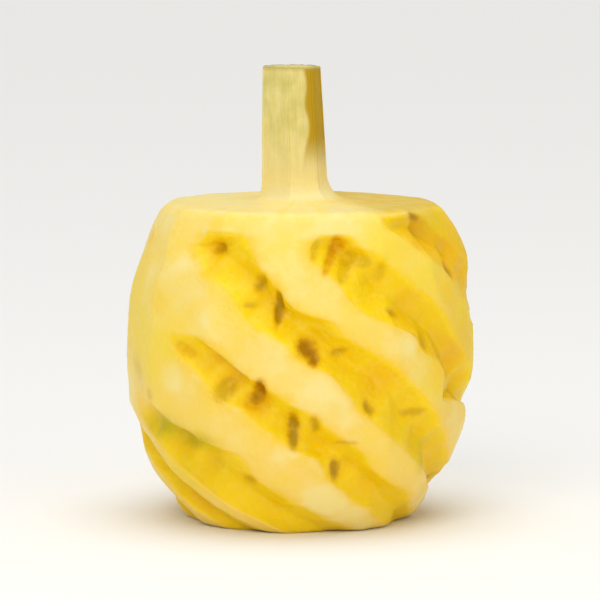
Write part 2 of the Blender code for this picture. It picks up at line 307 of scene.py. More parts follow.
# The cut's lower and upper edges on the grooves at the front, as bearings (degrees) and
# heights (mm) from the top down. An edge that is out of sight has no points.
frontEdges = {
    0: (
        [
            (-37, 72.2), (-40, 71.2), (-42, 69.6), (-41.6, 67.6), (-37.6, 63.8), (-30.8, 61.7),
            (-24.6, 58.7), (-18.8, 53.2), (-12.5, 50.1), (-3.2, 46), (-0.6, 43.1), (4.5, 41.7),
            (9.7, 39.7), (15.1, 34.8), (18.6, 31.8), (24.6, 28.7), (35.2, 22.7), (51.1, 15.5),
        ],
        [
            (-23.5, 72.2), (-20.5, 71.2), (-18.6, 69.8), (-17.2, 68.2), (-15.3, 65.4), (-10.6, 62.7),
            (-6.9, 59.9), (0, 54.4), (6.6, 53.4), (11.9, 52), (13.8, 49.1), (19.8, 46.6), (26.8, 44),
            (32.9, 40.8), (39.6, 37.1), (46, 33.5),
        ],
    ),
    1: (
        [
            (8.5, 72.2), (5.5, 71), (4.4, 69.2), (4.2, 66.6), (10, 63.6), (12.6, 61.3), (15.2, 58.9),
            (19, 55.6), (23.1, 53.1), (28.9, 51.9), (40.6, 48.1), (43, 44.6), (51, 41.1), (55.7, 38.3),
            (57, 32.6), (62, 31), (78, 29.4), (84, 27), (92, 22),
        ],
        [
            (20, 72.2), (22, 71), (24, 69), (30.8, 66.8), (38, 62.4), (44.3, 59.2), (51.5, 56),
            (57.4, 52.7), (64.3, 46.4),
        ],
    ),
    2: (
        [(34.9, 75.1), (40.9, 71.6), (49, 67.5), (58.9, 63.7), (68.3, 59.2), (75.2, 54.3)],
        [],
    ),
    6: (
        [(-80, 27), (-68, 19), (-55, 12), (-45, 6)],
        [
            (-66, 29), (-58.4, 27.6), (-47.1, 26.3), (-38.2, 24.5), (-32.1, 21.9), (-22.8, 21.3),
            (-19.5, 18.9), (-16.6, 14.5),
        ],
    ),
    7: (
        [
            (-47, 47.6), (-47, 46.2), (-45.5, 44.6), (-41.4, 42.3), (-35.3, 38.8), (-28.9, 35.8),
            (-24.9, 33), (-18.7, 31.3), (-14.7, 28.5), (-8.1, 25.2), (-2.8, 21.8), (4.2, 20.3),
            (7.2, 17.7), (9.7, 14.1),
        ],
        [
            (-46.5, 47.6), (-39.5, 46.4), (-32.9, 45), (-25.2, 42.6), (-19.6, 40.6), (-9.7, 36.4),
            (-1.3, 32.6), (5.9, 30.1), (12.2, 25.6), (19.6, 22.5), (24.6, 19.7), (27.3, 16.1),
        ],
    ),
}
edgeFade = 9 * mm  # how far past its last point a measured edge still counts

# Where the knife was lifted a little as it went round a side, and how much paler that left it.
lifted = [
    {"groove": 6, "height": 42.5 * mm, "halfHeight": 15.5 * mm, "share": 0.9, "paler": 1.5},
    {"groove": 2, "height": 57 * mm, "halfHeight": 10 * mm, "share": 0.65, "paler": 0.0},
]


# A measured edge's distance from its floor line on every ring, and how far to go by it.
def measuredWidth(number, edge, side):
    bearing, height = np.radians([point[0] for point in edge]), np.array([point[1] for point in edge]) * mm
    line = np.interp(-height, -ringHeights[below], lines[below, number])
    away = side * wrapped(bearing - line)
    nearby = np.linspace(-1, 1, 5) * mm  # the mean of these smooths the edge
    width = np.mean([np.interp(-ringHeights - step, -height, away) for step in nearby], axis=0)
    known = smoothStep(height[-1] - edgeFade, height[-1], ringHeights)
    if number not in groove["startsInSight"]:  # this groove goes on out of sight above
        known *= 1 - smoothStep(height[0], height[0] + edgeFade, ringHeights)
    return width, known


# Width of a groove's wall below its floor line and above it, as angles, the floor's depth,
# and how far its colour is there.
def grooveWalls(number):
    start, radius = groove["starts"][number], groove["startRadii"][number]
    opened = smoothStep(start, start + groove["runIns"][number], sideRun)
    roundLower = roundUpper = math.inf  # a start in sight is shaped by its measured edges alone
    if number not in groove["startsInSight"]:
        rise = start + radius - sideRun
        tangent = groove["startTangent"] * radius
        disc = np.sqrt(np.clip(radius**2 - rise**2, 0, None))
        slant = 1 / math.tan(groove["slope"])
        roundLower = np.where(rise > -tangent, disc + np.clip(-rise, 0, None) * slant, math.inf)
        besideStart = radius / math.sin(groove["slope"]) - rise * slant
        roundUpper = np.where(rise > tangent, disc, np.where(rise > 0, besideStart, math.inf))
    lowerEdge, upperEdge = frontEdges.get(number, ([], []))
    widths = []
    for side, kind, span, rounded, edge in (
        (-1, "gentle", spans[:, number - 1], roundLower, lowerEdge),
        (1, "steep", spans[:, number], roundUpper, upperEdge),
    ):
        wall = span * groove[kind + "Share"]
        wall *= 1 + opened * scoopSwell(number, side * wall)
        wall = np.minimum(wall, rounded / ringRadii)
        if edge:
            measured, known = measuredWidth(number, edge, side)
            wall += known * (measured - wall)
        least, most = groove[kind + "Limits"]
        widths.append(np.clip(wall, least * span, most * span))
    shallow = 1 - (1 - groove["depthAtBase"]) * (1 - smoothStep(0, groove["runOut"], ringHeights))
    depth = grooveDepths[number] * opened * shallow
    coloured = smoothStep(start, start + groove["colourRunIn"], sideRun)
    for lift in lifted:
        if lift["groove"] == number:
            raised = lift["share"] * np.exp(-(((ringHeights - lift["height"]) / lift["halfHeight"]) ** 4))
            depth *= 1 - raised
            coloured *= np.clip(1 - lift["paler"] * raised, 0, 1)
    return (*widths, depth, coloured)


walls = [grooveWalls(number) for number in range(grooveCount)]
bearings = np.zeros((ringCount, columnCount))
cuts = np.zeros_like(bearings)
cutShare = np.zeros_like(bearings)  # 0 on a ridge's middle, colourAtEdge at a wall's top, 1 on a floor
scoopTint = np.zeros_like(bearings)
lip = np.zeros_like(bearings)

# The columns run from each groove's floor line to the next one's: up the steep wall, over
# the ridge, and down the gentle wall.
for number in range(grooveCount):
    following = (number + 1) % grooveCount
    span = spans[:, number, None]
    steep = walls[number][1][:, None] / span
    gentle = walls[following][0][:, None] / span
    ridge = 1 - steep - gentle
    steps = [np.linspace(0, 1, lattice[name], endpoint=False)[None, :] for name in
             ("steepColumns", "ridgeColumns", "gentleColumns")]
    shares = np.hstack([steep * steps[0], steep + ridge * steps[1], 1 - gentle + gentle * steps[2]])
    here = slice(number * columnsPerGroove, (number + 1) * columnsPerGroove)
    bearings[:, here] = lines[:, number, None] + shares * span

    upSteep = np.clip(shares / steep, 0, 1)
    upGentle = np.clip((1 - shares) / gentle, 0, 1)
    # Each wall is part of its own groove's scoops.
    for cut, up, aside in ((number, upSteep, shares), (following, upGentle, shares - 1)):
        floor, tint = scoopFloor(cut, alongGroove(aside * span))
        cuts[:, here] += walls[cut][2][:, None] * floor * (1 - up ** groove["wallCurve"])
        scoopTint[:, here] += np.where(up < 1, tint, 0) * (1 - up**4)
    lowest = np.minimum(upSteep, upGentle)
    acrossRidge = np.abs(np.clip((shares - steep) / ridge, 0, 1) * 2 - 1)
    coloured, colouredNext = walls[number][3][:, None], walls[following][3][:, None]
    colouredHere = np.where(shares < 0.5, coloured, colouredNext)
    rounding = np.where(acrossRidge < 1, acrossRidge**6, lowest**3)
    cuts[:, here] += groove["edgeRounding"] * rounding * colouredHere

    inGroove = smoothStep(0, groove["colourDepth"], 1 - lowest ** groove["wallCurve"])
    atEdge = groove["colourAtEdge"]
    onRidge = atEdge * acrossRidge ** groove["ridgeFade"]
    cutShare[:, here] = np.where(inGroove > 0, atEdge + (1 - atEdge) * inGroove, onRidge) * colouredHere
    lipHere = np.exp(-(((1 - upGentle) / groove["lipWidth"]) ** 2))
    lipHere *= smoothStep(0, groove["lipFade"], 1 - upGentle)
    lip[:, here] = lipHere * colouredNext * groove["lips"][following]

# A nick breaks the ridge between the first two grooves, where it goes round the side.
nick = {
    "bearings": np.radians([55.5, 2, 76, 6]),  # where it starts and over how much, and its end
    "heights": np.array([31, 1.5, 41, 4]) * mm,  # the same
    "depth": 3.6 * mm,
    "colour": 0.95,
}


def between(limits, values):
    start, startFade, end, endFade = limits
    return smoothStep(0, startFade, values - start) * (1 - smoothStep(0, endFade, values - end))


firstRidge = slice(0, columnsPerGroove)
nicked = between(nick["bearings"], bearings[:, firstRidge])
nicked *= between(nick["heights"], ringHeights)[:, None]
cuts[:, firstRidge] = np.maximum(cuts[:, firstRidge], nick["depth"] * nicked)
cutShare[:, firstRidge] = np.maximum(cutShare[:, firstRidge], nick["colour"] * nicked)

# The fruit is a little fuller on its right, below the shoulder.
swell = {
    "bearing": math.radians(92),
    "halfAngle": math.radians(32),
    "height": 66 * mm,
    "halfHeight": 12 * mm,
    "rise": 2.4 * mm,
}

# Slices off the flat top: bearing, distance from the middle, drop, and slope beyond it.
topSlices = [
    (math.radians(-92), 21.5 * mm, 0.55 * mm, 0.03),
    (math.radians(-20), 25.0 * mm, 0.30 * mm, 0.05),
    (math.radians(128), 20.0 * mm, 0.45 * mm, 0.04),
]
topSliceEdge = 1.5 * mm


# Share of the radius that flat strips between these corners leave, and each point's strip.
def flatStrips(angles, corners):
    ends = np.append(corners, corners[0] + 2 * math.pi)
    turned = np.mod(angles - corners[0], 2 * math.pi) + corners[0]
    strip = np.clip(np.searchsorted(ends, turned, side="right") - 1, 0, len(corners) - 1)
    middle = (ends[strip] + ends[strip + 1]) / 2
    half = (ends[strip + 1] - ends[strip]) / 2
    return np.cos(half) / np.cos(turned - middle), strip


def shapeLattice():
    radii, heights = (values[:, None] + np.zeros_like(bearings) for values in (ringRadii, ringHeights))
    stripEnds = np.arange(barrel["stripCount"]) * 2 * math.pi / barrel["stripCount"]
    jitter = np.random.default_rng(seed + 1).uniform(-1, 1, barrel["stripCount"])
    strips, strip = flatStrips(bearings, stripEnds + barrel["stripJitter"] * jitter)
    uneven = barrel["ovalShare"] * np.cos(2 * bearings + barrel["ovalTurn"])
    uneven += barrel["lopsidedShare"] * np.cos(3 * bearings + barrel["lopsidedTurn"])
    phase = np.random.default_rng(seed + 2).uniform(0, 2 * math.pi, barrel["stripCount"])[strip]
    knifeWave = barrel["knifeWave"] * (np.sin(2 * math.pi * heights / barrel["knifeWaveLength"] + phase) - 1)
    aside = wrapped(bearings - swell["bearing"]) / swell["halfAngle"]
    fuller = np.exp(-(aside**2) - ((heights - swell["height"]) / swell["halfHeight"]) ** 2)
    body = radii * (1 + barrel["stripFlatness"] * (strips - 1)) * (1 + uneven) - cuts + knifeWave
    body += swell["rise"] * fuller * underTop[:, None]

    onBody = smoothStep(stalk["footRadius"], barrel["shoulderRadius"] * barrel["topBlend"], radii)
    onBody[underTop] = 1
    turned = bearings + stalk["turn"] * (1 - onBody)
    flare = np.maximum(radii - stalk["footRadius"], 0)
    unflared = (1 - stalk["flareLeast"]) * (1 - np.sin(turned)) / 2
    post = (radii - flare * unflared) * flatStrips(bearings, bearings[0, ::columnsPerGroove])[0]
    shaped = post + (body - post) * onBody
    # The base's inner rings are its rim's outline, drawn smaller.
    inner = np.arange(baseRing + 1, ringCount)
    shaped[inner] = shaped[baseRing] * (ringRadii[inner] / ringRadii[baseRing])[:, None]

    upStalk = np.clip((heights - barrel["height"]) / stalk["length"], 0, 1)
    shift = stalk["footShift"] + (stalk["topShift"] - stalk["footShift"]) * upStalk
    x = shaped * np.sin(turned) - shift * (1 - onBody)
    y = -shaped * np.cos(turned)
    x -= (x.min() + x.max()) / 2
    y -= (y.min() + y.max()) / 2
    for bearing, distance, drop, slope in topSlices:
        beyond = x * math.sin(bearing) - y * math.cos(bearing) - distance
        limit = barrel["height"] + barrel["topDome"] - drop * smoothStep(0, topSliceEdge, beyond)
        limit = limit - slope * np.maximum(beyond, 0)
        heights = np.where(beyond > 0, np.minimum(heights, limit), heights)
    return np.stack([x, y, heights], axis=2)


points = shapeLattice()
print("fruit shaped:", ringCount, "rings by", columnCount, "columns")


def outwardNormals(points):
    across = np.roll(points, -1, axis=1) - np.roll(points, 1, axis=1)
    down = np.gradient(points, axis=0)
    normals = np.cross(down, across)
    return normals / np.maximum(np.linalg.norm(normals, axis=2, keepdims=True), 1e-12)


# The eyes' remains that show at the front. For each: bearing (degrees), height, half
# width, half height (mm), tilt (degrees), how dark it is, and its pit's depth (mm).
frontEyes = [
    (-34.8, 68.3, 1.0, 0.9, 20, 0.42, 0.3),
    (-14.1, 60.9, 1.3, 1.9, -30, 0.56, 0.5),
    (-17.9, 55.8, 1.4, 0.5, 0, 0.32, 0.2),
    (-7.7, 55.1, 0.95, 3.9, -2, 0.76, 0.8),
    (2.4, 45.8, 1.5, 2.6, 48, 0.90, 0.5),
    (4.6, 43.8, 0.8, 1.6, 5, 0.90, 0.4),
    (13.8, 44.7, 1.7, 0.6, 10, 0.35, 0.3),
    (24.0, 31.5, 0.9, 1.6, 30, 0.62, 0.6),
    (44.7, 29.1, 2.2, 0.9, 0, 0.35, 0.4),
    (34.5, 53.5, 1.5, 0.8, -20, 0.55, 0.5),
    (61.0, 40.1, 1.3, 2.0, 10, 0.55, 0.7),
    (47.8, 46.2, 1.9, 2.0, 10, 0.35, 0.3),
    (-60.7, 32.5, 1.0, 1.4, 0, 0.25, 0.2),
    (-13.8, 36.2, 1.25, 2.3, -15, 0.92, 0.8),
    (-16.2, 33.6, 1.3, 1.5, -25, 0.60, 0.4),
    (-2.3, 26.4, 1.3, 4.0, 4, 0.76, 0.8),
    (5.1, 28.0, 0.8, 1.6, 15, 0.52, 0.4),
    (13.6, 16.9, 1.2, 2.5, 8, 0.76, 0.6),
    (16.3, 23.3, 2.3, 0.5, 0, 0.28, 0.2),
    (-20.5, 13.9, 1.7, 0.9, 0, 0.45, 0.4),
    (55.5, 75.2, 0.9, 1.9, 60, 0.78, 0.4),
    (67.5, 61.8, 2.2, 1.2, -40, 0.55, 0.5),
]

otherEyes = {
    "spacing": 11.5 * mm,
    "spread": 0.2,
    "firstFrom": 4 * mm,  # past a groove's start
    "firstTo": 9 * mm,
    "clearOfBase": 8 * mm,
    "aside": 0.05,  # the most that one is off the groove's floor line, in radians
    "upOrDown": 1.0,  # mm
    "tilts": (-30, 35),
    "frontFrom": -88,  # degrees: between these two bearings only the list above counts
    "frontTo": 88,
    # What share is of each kind or of one before it, then its least half width and how much
    # more that may be, the same for its half height (mm) and its darkness, and its pit's depth.
    "kinds": [
        (0.4, 0.8, 0.4, 2.0, 1.8, 0.65, 0.3, 0.8),  # a slit
        (0.75, 1.2, 0.9, 1.4, 1.2, 0.45, 0.4, 0.6),  # a blunt remnant
        (1.0, 1.4, 1.2, 0.6, 0.6, 0.2, 0.2, 0.3),  # only its stain is left
    ],
}


# Every eye's mark: those at the front, then the rest by rule along the grooves.
def allEyes():
    eyes = list(frontEyes)
    own = np.random.default_rng(seed + 3)
    side = np.arange(shoulderRing, baseRing)
    for number in range(grooveCount):
        place = groove["starts"][number] / math.sin(groove["slope"])
        place += own.uniform(otherEyes["firstFrom"], otherEyes["firstTo"])
        while place < grooveRun[baseRing] - otherEyes["clearOfBase"]:
            bearing = np.interp(place, grooveRun[side], lines[side, number])
            bearing = math.degrees(wrapped(bearing + own.uniform(-otherEyes["aside"], otherEyes["aside"])))
            height = np.interp(place, grooveRun[side], ringHeights[side]) / mm
            height += own.uniform(-otherEyes["upOrDown"], otherEyes["upOrDown"])
            kind, tilt = own.uniform(), own.uniform(*otherEyes["tilts"])
            wide, high, dark = own.uniform(0, 1, 3)
            share, *sizes, pit = next(row for row in otherEyes["kinds"] if kind < row[0])
            halfWidth, halfHeight = sizes[0] + sizes[1] * wide, sizes[2] + sizes[3] * high
            if not otherEyes["frontFrom"] < bearing < otherEyes["frontTo"]:
                eyes.append((bearing, height, halfWidth, halfHeight, tilt, sizes[4] + sizes[5] * dark, pit))
            place += otherEyes["spacing"] * (1 + otherEyes["spread"] * own.uniform(-1, 1))
    return eyes


marks = {
    "bluntness": 2.3,  # of a mark's oval, where 2 is an ellipse
    "nearHeight": 12 * mm,  # nothing further off is part of a mark
    "nearAngle": 0.5,
    "leastRadius": 20 * mm,
    "stain": 4.0,  # mm round an eye that its colour is worked out for
    "pitSteepness": 1.1,
    "pitRim": 0.14,  # share of a pit's depth that its rim is raised
    "pitRimAt": 1.7,
    "pitRimWidth": 0.45,
    "slashFade": (-0.7, 1.0),  # mm from a slash's edge
}


# How far round each point is from a bearing (degrees), how far it is above a height (mm),
# and its radius.
def fromSpot(points, bearing, height):
    x, y, z = np.moveaxis(points, 2, 0)
    return wrapped(np.arctan2(x, -y) - math.radians(bearing)), z - height * mm, np.hypot(x, y)


# The points near a mark, how far out each lies in its blunt oval, where 1 is the edge, and
# how far beyond the edge that is (mm).
def aroundMark(points, bearing, height, halfWidth, halfHeight, tilt):
    away, up, radius = fromSpot(points, bearing, height)
    near = (np.abs(up) < marks["nearHeight"]) & (np.abs(away) < marks["nearAngle"])
    near &= radius > marks["leastRadius"]
    across, up = (away * radius)[near], up[near]
    cosTilt, sinTilt = math.cos(math.radians(tilt)), math.sin(math.radians(tilt))
    outAcross = np.abs(across * cosTilt + up * sinTilt) / (halfWidth * mm)
    outUp = np.abs(up * cosTilt - across * sinTilt) / (halfHeight * mm)
    blunt = marks["bluntness"]
    outward = np.maximum((outAcross**blunt + outUp**blunt) ** (1 / blunt), 0.02)  # never quite 0
    return near, outward, (1 - 1 / outward) * np.hypot(across, up) / mm


# How far each point is beyond the nearest eye's mark (mm), its darkness, and the pits' depths.
def eyeMarks(points):
    reach = np.full(points.shape[:2], marks["stain"])
    tone, weight, pits = np.zeros_like(reach), np.full_like(reach, 1e-6), np.zeros_like(reach)
    for *place, darkness, depth in allEyes():
        near, distance, beyond = aroundMark(points, *place)
        reach[near] = np.minimum(reach[near], np.clip(beyond, -1, marks["stain"]))
        pull = np.exp(-(distance**2))
        tone[near] += darkness * pull
        weight[near] += pull
        rim = marks["pitRim"] * np.exp(-(((distance - marks["pitRimAt"]) / marks["pitRimWidth"]) ** 2))
        pits[near] += depth * mm * (np.exp(-marks["pitSteepness"] * distance**2) - rim)
    return reach, tone / weight, pits


# Slashes where the second groove starts, and two on the last. For each: bearing (degrees),
# height, half width, half height (mm), tilt (degrees), how orange and how olive it is, and
# its depth (mm).
slashes = [
    (5.6, 68.3, 0.8, 2.4, -20, 0.0, 0.6, 0.15),
    (12.0, 66.6, 1.1, 4.2, -33, 0.85, 0.0, 0.45),
    (15.2, 69.6, 1.8, 1.9, -33, 1.0, 0.0, 0.45),
    (17.4, 63.8, 1.3, 3.2, -32, 0.1, 0.7, 0.35),
    (23.0, 66.2, 1.5, 3.2, 65, 0.0, 0.55, 0.3),
    (31.5, 63.2, 0.9, 2.2, 0, 0.0, 0.5, 0.3),
    (-42.0, 44.6, 1.2, 2.8, 62, 0.5, 0.0, 0.2),
    (-26.0, 35.8, 2.0, 3.0, -15, 0.0, 0.85, 0.4),
]


def slashMarks(points):
    orange, olive, dents = np.zeros((3, *points.shape[:2]))
    for *place, orangeness, oliveness, depth in slashes:
        near, distance, beyond = aroundMark(points, *place)
        inside = 1 - smoothStep(*marks["slashFade"], beyond)
        orange[near] = np.maximum(orange[near], orangeness * inside)
        olive[near] = np.maximum(olive[near], oliveness * inside)
        dents[near] += depth * mm * np.exp(-(distance**2))
    return orange, olive, dents


# Patches of other colours. For each: bearing (degrees), height, half width, half height
# (mm), and strength.
patchLists = {
    # Olive patches. Those low at the front are painted shade, those on the shoulder and along the top's back
    # rim are partly painted shade, and elsewhere a little of the green under the rind is left.
    "green": [
        (-57, 24.8, 8.5, 3.6, 1.0), (-41, 22.6, 8, 2.6, 0.9), (-55, 17, 14, 7, 0.22),
        (-72, 38, 4, 4, 0.35), (54, 18, 3, 4, 0.7), (66, 77, 7, 9, 0.5), (118, 74, 6, 8, 0.9),
        (157, 77, 6, 7, 0.7), (160, 30, 7, 8, 0.6), (-140, 18, 7, 9, 0.7), (-110, 52, 5, 6, 0.4),
    ],
    # The pared flesh is yellower. Those at the upper right are partly painted shade.
    "golden": [
        (-80, 52, 12, 10, 0.75), (-68, 46, 10, 11, 0.8), (-52, 45, 8, 6.5, 0.8),
        (-60, 40, 8, 7, 0.8), (-60, 13, 12, 7, 0.9), (82, 44, 13, 17, 0.75), (84, 68, 13, 10, 0.75),
        (49, 36, 7, 8, 0.6), (37, 69, 9, 8, 0.9), (50, 61, 10, 8, 0.9), (150, 60, 9, 12, 0.5),
        (-130, 40, 11, 14, 0.6),
    ],
    # The knife went deeper on a ridge, so it takes a groove's colours. At the upper right this is partly
    # painted shade.
    "deep": [
        (76, 44, 12, 14, 0.8), (84, 66, 14, 13, 0.9), (63, 57, 9, 8, 0.4), (55, 39, 7, 8, 0.35),
        (62, 33, 6, 8, 0.3),
    ],
    # The floor of a groove is more orange. The two strongest, at the upper right, are painted shade.
    "amber": [
        (-37, 63.5, 7, 5, 0.9), (-30, 57, 7, 4, 0.7), (-22, 50, 6, 3.5, 0.6), (27, 38, 9, 4.5, 0.8),
        (52, 41, 9, 8, 0.9), (72, 44, 9, 8, 0.9), (70, 71, 17, 8, 1.4), (80, 62, 10, 8, 1.2),
        (-12, 31, 7, 4, 0.4),
    ],
}
# Patches fade out between these radii on the flat top, and 3 mm further in near the base.
patchLimits = (27 * mm, 32 * mm)
nearBase = (ringHeights < 20 * mm)[:, None]


def patchShare(points, kind):
    share = np.zeros(points.shape[:2])
    for bearing, height, halfWidth, halfHeight, strength in patchLists[kind]:
        away, up, radius = fromSpot(points, bearing, height)
        distance = np.hypot(away * radius / (halfWidth * mm), up / (halfHeight * mm))
        share = np.maximum(share, strength * np.exp(-(distance**2.5)))
    return share * smoothStep(*patchLimits, radius + 3 * mm * nearBase)


eyeReach, eyeTone, pits = eyeMarks(points)
orangeSlash, oliveSlash, dents = slashMarks(points)
normals = outwardNormals(points)

# Small unevenness of cut flesh: how far apart its lumps are, and how high.
unevenness = {
    "softSize": 6.5 * mm,
    "softHeight": 0.17 * mm,
    "fineSize": 2.1 * mm,
    "fineHeight": 0.11 * mm,
    "fineOnRidge": 0.3,  # share of the fine lumps where the knife only pared
    "onStalk": 0.4,
}


# The unevenness as a distance along each point's normal.
def fleshRelief(points):
    relief = np.zeros(points.shape[:2])
    fineShare = unevenness["fineOnRidge"] + (1 - unevenness["fineOnRidge"]) * cutShare
    for row in range(points.shape[0]):
        for column in range(points.shape[1]):
            spot = Vector(points[row, column])
            soft = noise.noise(spot / unevenness["softSize"]) * unevenness["softHeight"]
            fine = noise.noise(spot / unevenness["fineSize"]) * unevenness["fineHeight"]
            relief[row, column] = soft + fine * fineShare[row, column]
    return relief


stalkTop = barrel["height"] + stalk["length"]
sameHeight = 0.01 * mm
onFlat = ringHeights < sameHeight
onEnd = ringHeights > stalkTop - sameHeight
footFrom, footFull = stalk["footColour"]
upPost = smoothStep(barrel["height"] + footFrom, barrel["height"] + footFull, points[:, :, 2])
relief = fleshRelief(points) * (1 - (1 - unevenness["onStalk"]) * upPost)
aroundStalk = np.arange(columnCount) * 2 * math.pi / columnCount
broad, narrow = stalk["fibreCounts"]
fibre = np.sin(broad * aroundStalk) + 0.7 * np.sin(narrow * aroundStalk + 1)
relief += stalk["fibreDepth"] * fibre * upPost
relief -= pits + dents
relief[onFlat] = 0
relief[onEnd] = -stalk["endDip"] * (1 - (ringRadii[onEnd] / stalk["topRadius"]) ** 2)[:, None]
points = points + normals * relief[:, :, None]
points = np.clip(points, np.array(cadBox[0]), np.array(cadBox[1]))


# Two triangles for each cell of the lattice, split along its shorter diagonal.
def latticeFaces(points):
    index = np.arange(ringCount * columnCount).reshape(ringCount, columnCount)
    a, b = index[:-1], np.roll(index, -1, axis=1)[:-1]
    c, d = np.roll(index, -1, axis=1)[1:], index[1:]
    flat = points.reshape(-1, 3)
    shorter = np.linalg.norm(flat[a] - flat[c], axis=2) < np.linalg.norm(flat[b] - flat[d], axis=2)
    first = np.where(shorter[..., None], np.stack([a, d, c], 2), np.stack([a, d, b], 2))
    second = np.where(shorter[..., None], np.stack([a, c, b], 2), np.stack([b, d, c], 2))
    return np.concatenate([first.reshape(-1, 3), second.reshape(-1, 3)])


def addObject(name, data, place=(0, 0, 0)):
    thing = bpy.data.objects.new(name, data)
    thing.location = place
    bpy.context.scene.collection.objects.link(thing)
    return thing


def buildFruit():
    faces = latticeFaces(points).tolist()
    topRing = list(range(columnCount))
    lastRing = [(ringCount - 1) * columnCount + column for column in range(columnCount)]
    faces += [topRing, lastRing[::-1]]
    mesh = bpy.data.meshes.new("peeledPineapple")
    mesh.from_pydata(points.reshape(-1, 3).tolist(), [], faces)
    mesh.validate()
    mesh.shade_smooth()
    return addObject("peeledPineapple", mesh)


def storeAttribute(mesh, name, values):
    attribute = mesh.attributes.new(name, "FLOAT", "POINT")
    everywhere = np.broadcast_to(np.asarray(values, np.float32), points.shape[:2])
    attribute.data.foreach_set("value", everywhere.ravel())


# A strip on the stalk's right side, partly its own skin that the trimming left and partly painted shade on
# that side. Its edge waves, and a tongue of it reaches further forward near the top.
skinAndShadeStrip = {
    "fromBearing": math.radians(30),
    "fromFade": (-0.06, 0.10),
    "toBearings": (1.75, 2.1),
    "wave": 0.20,
    "waveHeight": 92 * mm,
    "waveLength": 5 * mm,
    "tongue": 0.25,
    "tongueHeight": 101 * mm,
    "tongueHalfHeight": 4 * mm,
    "heights": (84 * mm, 94 * mm),
    "belowEnd": 0.3 * mm,
}


def skinAndShadeShare():
    bearing = np.arctan2(points[:, :, 0] + stalk["topShift"], -points[:, :, 1])
    height = points[:, :, 2]
    edge = skinAndShadeStrip["fromBearing"]
    edge = edge + skinAndShadeStrip["wave"] * np.sin((height - skinAndShadeStrip["waveHeight"]) / skinAndShadeStrip["waveLength"])
    upTongue = (height - skinAndShadeStrip["tongueHeight"]) / skinAndShadeStrip["tongueHalfHeight"]
    edge -= skinAndShadeStrip["tongue"] * np.exp(-(upTongue**2))
    skinAndShade = smoothStep(*skinAndShadeStrip["fromFade"], bearing - edge)
    skinAndShade *= 1 - smoothStep(*skinAndShadeStrip["toBearings"], bearing)
    belowRim = ringHeights < stalkTop - skinAndShadeStrip["belowEnd"]
    return skinAndShade * smoothStep(*skinAndShadeStrip["heights"], height) * belowRim[:, None]


# The flat top is darker towards its back right: a painted shadow.
topShadowPatch = {
    "towards": math.radians(20),  # from +X towards the back
    "from": 3 * mm,
    "to": 13 * mm,
    "share": 0.85,
}


def topShadowShare():
    away = points[:, :, 0] * math.cos(topShadowPatch["towards"]) + points[:, :, 1] * math.sin(topShadowPatch["towards"])
    return topShadowPatch["share"] * smoothStep(topShadowPatch["from"], topShadowPatch["to"], away)


# 0 to 1 between two distances from a limit, given as the far one and the near one.
def closeTo(limit, distances, values):
    return smoothStep(limit - distances[0], limit - distances[1], values)


fruit = buildFruit()
atRim = closeTo(stalkTop, stalk["rimDepth"], ringHeights)
atRim *= closeTo(stalk["topRadius"], stalk["rimWidth"], ringRadii)
onTop = closeTo(barrel["height"], barrel["topColour"], points[:, :, 2]) * (1 - upPost)
cutLook = np.maximum(cutShare, patchShare(points, "deep"))
pointShares = {
    "cutShare": cutLook,
    # the amber patches, two of them painted shade, add to the scoops' tint
    "scoopTint": scoopTint + patchShare(points, "amber") * cutLook,
    "lip": lip,
    "eyeReach": eyeReach,
    "eyeTone": eyeTone,
    "orangeSlash": orangeSlash,
    "oliveSlash": oliveSlash,
    "green": patchShare(points, "green"),
    "golden": patchShare(points, "golden"),
    "onStalk": upPost,
    "stalkSkin": skinAndShadeShare(),
    "onTop": onTop,
    # where the painted shadow on the top's back right lies
    "dried": topShadowShare() * onTop,
    "onBase": onFlat[:, None],
    "onEnd": onEnd[:, None],
    "atRim": atRim[:, None],
}
for name, values in pointShares.items():
    storeAttribute(fruit.data, name, values)
print("fruit meshed:", len(fruit.data.polygons), "faces")


def hexColour(code):
    channels = [int(code[i : i + 2], 16) / 255 for i in (1, 3, 5)]
    return [c / 12.92 if c <= 0.04045 else ((c + 0.055) / 1.055) ** 2.4 for c in channels] + [1.0]


def perMm(size):
    return 1 / (size * mm)


# Adds a node. A setting that is another node's socket is linked, and any other is set.
def addNode(tree, kind, settings):
    node = tree.nodes.new("ShaderNode" + kind)
    for name, value in settings.items():
        if name == "stops":
            while len(node.color_ramp.elements) < len(value):
                node.color_ramp.elements.new(1.0)
            for element, (position, colour) in zip(node.color_ramp.elements, value):
                element.position, element.color = position, hexColour(colour)
        elif isinstance(value, bpy.types.NodeSocket):
            tree.links.new(value, node.inputs[name])
        elif isinstance(name, int) or name in node.inputs:
            node.inputs[name].default_value = value
        else:
            setattr(node, name, value)
    return node


# Turns on the nodes of a material or a world, and sets values on the one that it starts with.
def firstNode(owner, name, values):
    owner.use_nodes = True
    node = owner.node_tree.nodes[name]
    for socket, value in values.items():
        node.inputs[socket].default_value = value
    return node


